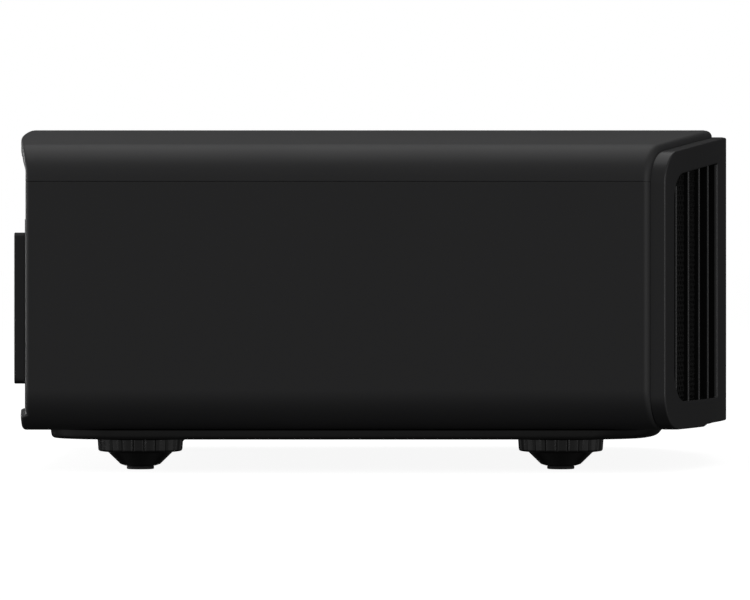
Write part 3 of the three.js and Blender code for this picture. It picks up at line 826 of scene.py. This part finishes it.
def make_looks():
    """Every look by name, each a material and the slot it stands for."""
    return {
        "case": shader("case_plastic", "case_plastic", (0.0145, 0.0145, 0.0155), 0.5),
        "fascia": shader(
            "fascia_plastic", "fascia_plastic", (0.0115, 0.0115, 0.0125), 0.34, depth=0.000015
        ),
        "satin": shader("satin_plastic", "dark_plastic", (0.008,) * 3, 0.38, depth=0.00002),
        "gloss": shader("gloss_plastic", "gloss_plastic", (0.004,) * 3, 0.12, depth=0.000004),
        "foot": shader("foot_plastic", "dark_plastic", (0.003,) * 3, 0.2, depth=0.00001),
        "pan": shader(
            "black_enamel", "painted_steel", (0.006,) * 3, 0.3, grain=900, Specular_IOR_Level=0.4
        ),
        "mesh": shader("mesh_enamel", "painted_steel", (0.003,) * 3, 0.5, Specular_IOR_Level=0.2),
        # Painted shade: a darker, duller copy of the fascia plastic, used for vent walls, fin roots
        # and socket pockets.
        "painted_shade": shader("vent_painted_shade", "fascia_plastic", (0.0015,) * 3, 0.8, Specular_IOR_Level=0.1),
        "plated": shader("plated_steel", "bare_steel", (0.5, 0.5, 0.5), 0.3, Metallic=1.0),
        "screw": shader("screw_steel", "bare_steel", (0.03, 0.03, 0.03), 0.35, Metallic=1.0),
        "alloy": shader(
            "cast_alloy", "aluminium", (0.45, 0.46, 0.48), 0.4, Metallic=1.0, grain=400
        ),
        "board": shader("board_laminate", "circuit_board", (0.01, 0.05, 0.025), 0.4, wander=0.3),
        "rubber": shader("sole_rubber", "rubber", (0.01, 0.01, 0.01), 0.75, grain=900),
        "foam": shader("filter_foam", "foam", (0.015, 0.015, 0.016), 0.95, grain=350, depth=0.0006),
        "glass": shader(
            "coated_glass",
            "glass",
            (0.35, 0.28, 0.5),
            0.015,
            depth=0.0,
            IOR=1.6,
            **{"Transmission Weight": 1.0, "Coat Weight": 0.6, "Coat Tint": (0.5, 0.35, 0.9, 1)},
        ),
    }


SLOT_LOOKS = {
    "case_plastic": "case",
    "fascia_plastic": "fascia",
    "dark_plastic": "satin",
    "gloss_plastic": "gloss",
    "painted_steel": "pan",
    "bare_steel": "plated",
    "aluminium": "alloy",
    "circuit_board": "board",
    "rubber": "rubber",
    "foam": "foam",
    "glass": "glass",
}


def dress_frame():
    """Gives every CAD node that stays in view the look of its slot, with smooth round faces."""
    slots = {s["node"]: s["material_slot"] for s in frame["record"]["subparts"]}
    for name, node in frame["nodes"].items():
        node.data.materials.clear()
        node.data.materials.append(LOOKS[SLOT_LOOKS[slots[name]]][0])
        soften(node, 30)


# ---------------------------------------------------------------- studio
def stage_mesh(name, build, color, glow):
    """A glowing backdrop mesh that the camera sees, but that lights and reflects in nothing."""
    bm = bmesh.new()
    build(bm)
    mesh = bpy.data.meshes.new(name)
    bm.to_mesh(mesh)
    bm.free()
    obj = bpy.data.objects.new(name, mesh)
    bpy.context.scene.collection.objects.link(obj)
    m = bpy.data.materials.new(name)
    m.use_nodes = True
    principled = m.node_tree.nodes["Principled BSDF"]
    principled.inputs["Base Color"].default_value = (*color, 1)
    principled.inputs["Roughness"].default_value = 0.9
    principled.inputs["Specular IOR Level"].default_value = 0.0
    principled.inputs["Emission Color"].default_value = (1, 1, 1, 1)
    principled.inputs["Emission Strength"].default_value = glow
    mesh.materials.append(m)
    obj.visible_diffuse = False
    obj.visible_glossy = False
    obj.visible_transmission = False
    return obj


def grid(bm):
    bmesh.ops.create_grid(bm, x_segments=1, y_segments=1, size=30)


def sphere(bm):
    bmesh.ops.create_icosphere(bm, subdivisions=4, radius=28)


def graded(nodes, links, axis, levels):
    """A grey that follows the direction's part along an axis, from (part, level) pairs."""
    spread = nodes.new("ShaderNodeMapRange")
    spread.inputs["From Min"].default_value = -1
    links.new(axis, spread.inputs["Value"])
    ramp = nodes.new("ShaderNodeValToRGB")
    links.new(spread.outputs["Result"], ramp.inputs["Fac"])
    elements = ramp.color_ramp.elements
    while len(elements) < len(levels):
        elements.new(0.5)
    for element, (part, level) in zip(elements, levels):
        element.position = (part + 1) / 2
        element.color = (level, level, level, 1)
    return ramp.outputs["Color"]


def light_world():
    """Even light from the camera's side, dimmer overhead, dark beyond the case and below it."""
    world = bpy.data.worlds.new("studio")
    bpy.context.scene.world = world
    world.use_nodes = True
    nodes, links = world.node_tree.nodes, world.node_tree.links
    where = nodes.new("ShaderNodeTexCoord")
    split = nodes.new("ShaderNodeSeparateXYZ")
    links.new(where.outputs["Generated"], split.inputs["Vector"])
    height = [(-1, 0.08), (-0.6, 0.2), (-0.12, 0.8), (0.24, 0.85), (0.7, 0.7), (1, 0.6)]
    across = [(-1, 0.75), (-0.8, 0.8), (-0.6, 1), (0.2, 1), (0.55, 0.15), (1, 0.06)]
    tall = graded(nodes, links, split.outputs["Z"], height)
    wide = graded(nodes, links, split.outputs["X"], across)
    product = nodes.new("ShaderNodeMix")
    product.data_type = "RGBA"
    product.blend_type = "MULTIPLY"
    product.inputs["Factor"].default_value = 1
    links.new(tall, product.inputs["A"])
    links.new(wide, product.inputs["B"])
    background = nodes["Background"]
    links.new(product.outputs["Result"], background.inputs["Color"])
    background.inputs["Strength"].default_value = 0.5


def studio():
    """A pale floor under a pale dome, a wide softbox overhead and four smaller ones round it."""
    stage_mesh("floor", grid, (0.3,) * 3, 0.92)
    stage_mesh("dome", sphere, (0,) * 3, 1.0).visible_shadow = False

    light_world()
    for name, spot, size, power in LAMPS:
        light = bpy.data.lights.new(name, "AREA")
        light.shape = "RECTANGLE"
        light.size, light.size_y = size
        light.energy = power
        lamp = bpy.data.objects.new(name, light)
        lamp.location = spot
        aim = Vector(LAMP_AIM) - Vector(spot)
        lamp.rotation_euler = aim.to_track_quat("-Z", "Y").to_euler()
        bpy.context.scene.collection.objects.link(lamp)
    bpy.context.scene.view_settings.view_transform = "Standard"


def camera():
    """Level, square-on to the projector's right side, with the front at the right."""
    data = bpy.data.cameras.new("camera")
    data.sensor_width = 36
    data.lens = FOCAL_LENGTH
    data.shift_y = FRAME_SHIFT
    data.clip_end = 200
    cam = bpy.data.objects.new("camera", data)
    cam.location = CAMERA
    cam.rotation_euler = (math.pi / 2, 0, -math.pi / 2)
    bpy.context.scene.collection.objects.link(cam)
    bpy.context.scene.camera = cam


# ---------------------------------------------------------------- build
for leftover in list(bpy.data.objects):
    bpy.data.objects.remove(leftover)
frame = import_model()
LOOKS = make_looks()

dress_frame()
top_cover()
side_panels()
front_fascia()
vent_fins()
vent_meshes()
lens_parts()
feet()
base_tray()
rear_parts()
screws()
studio()
camera()
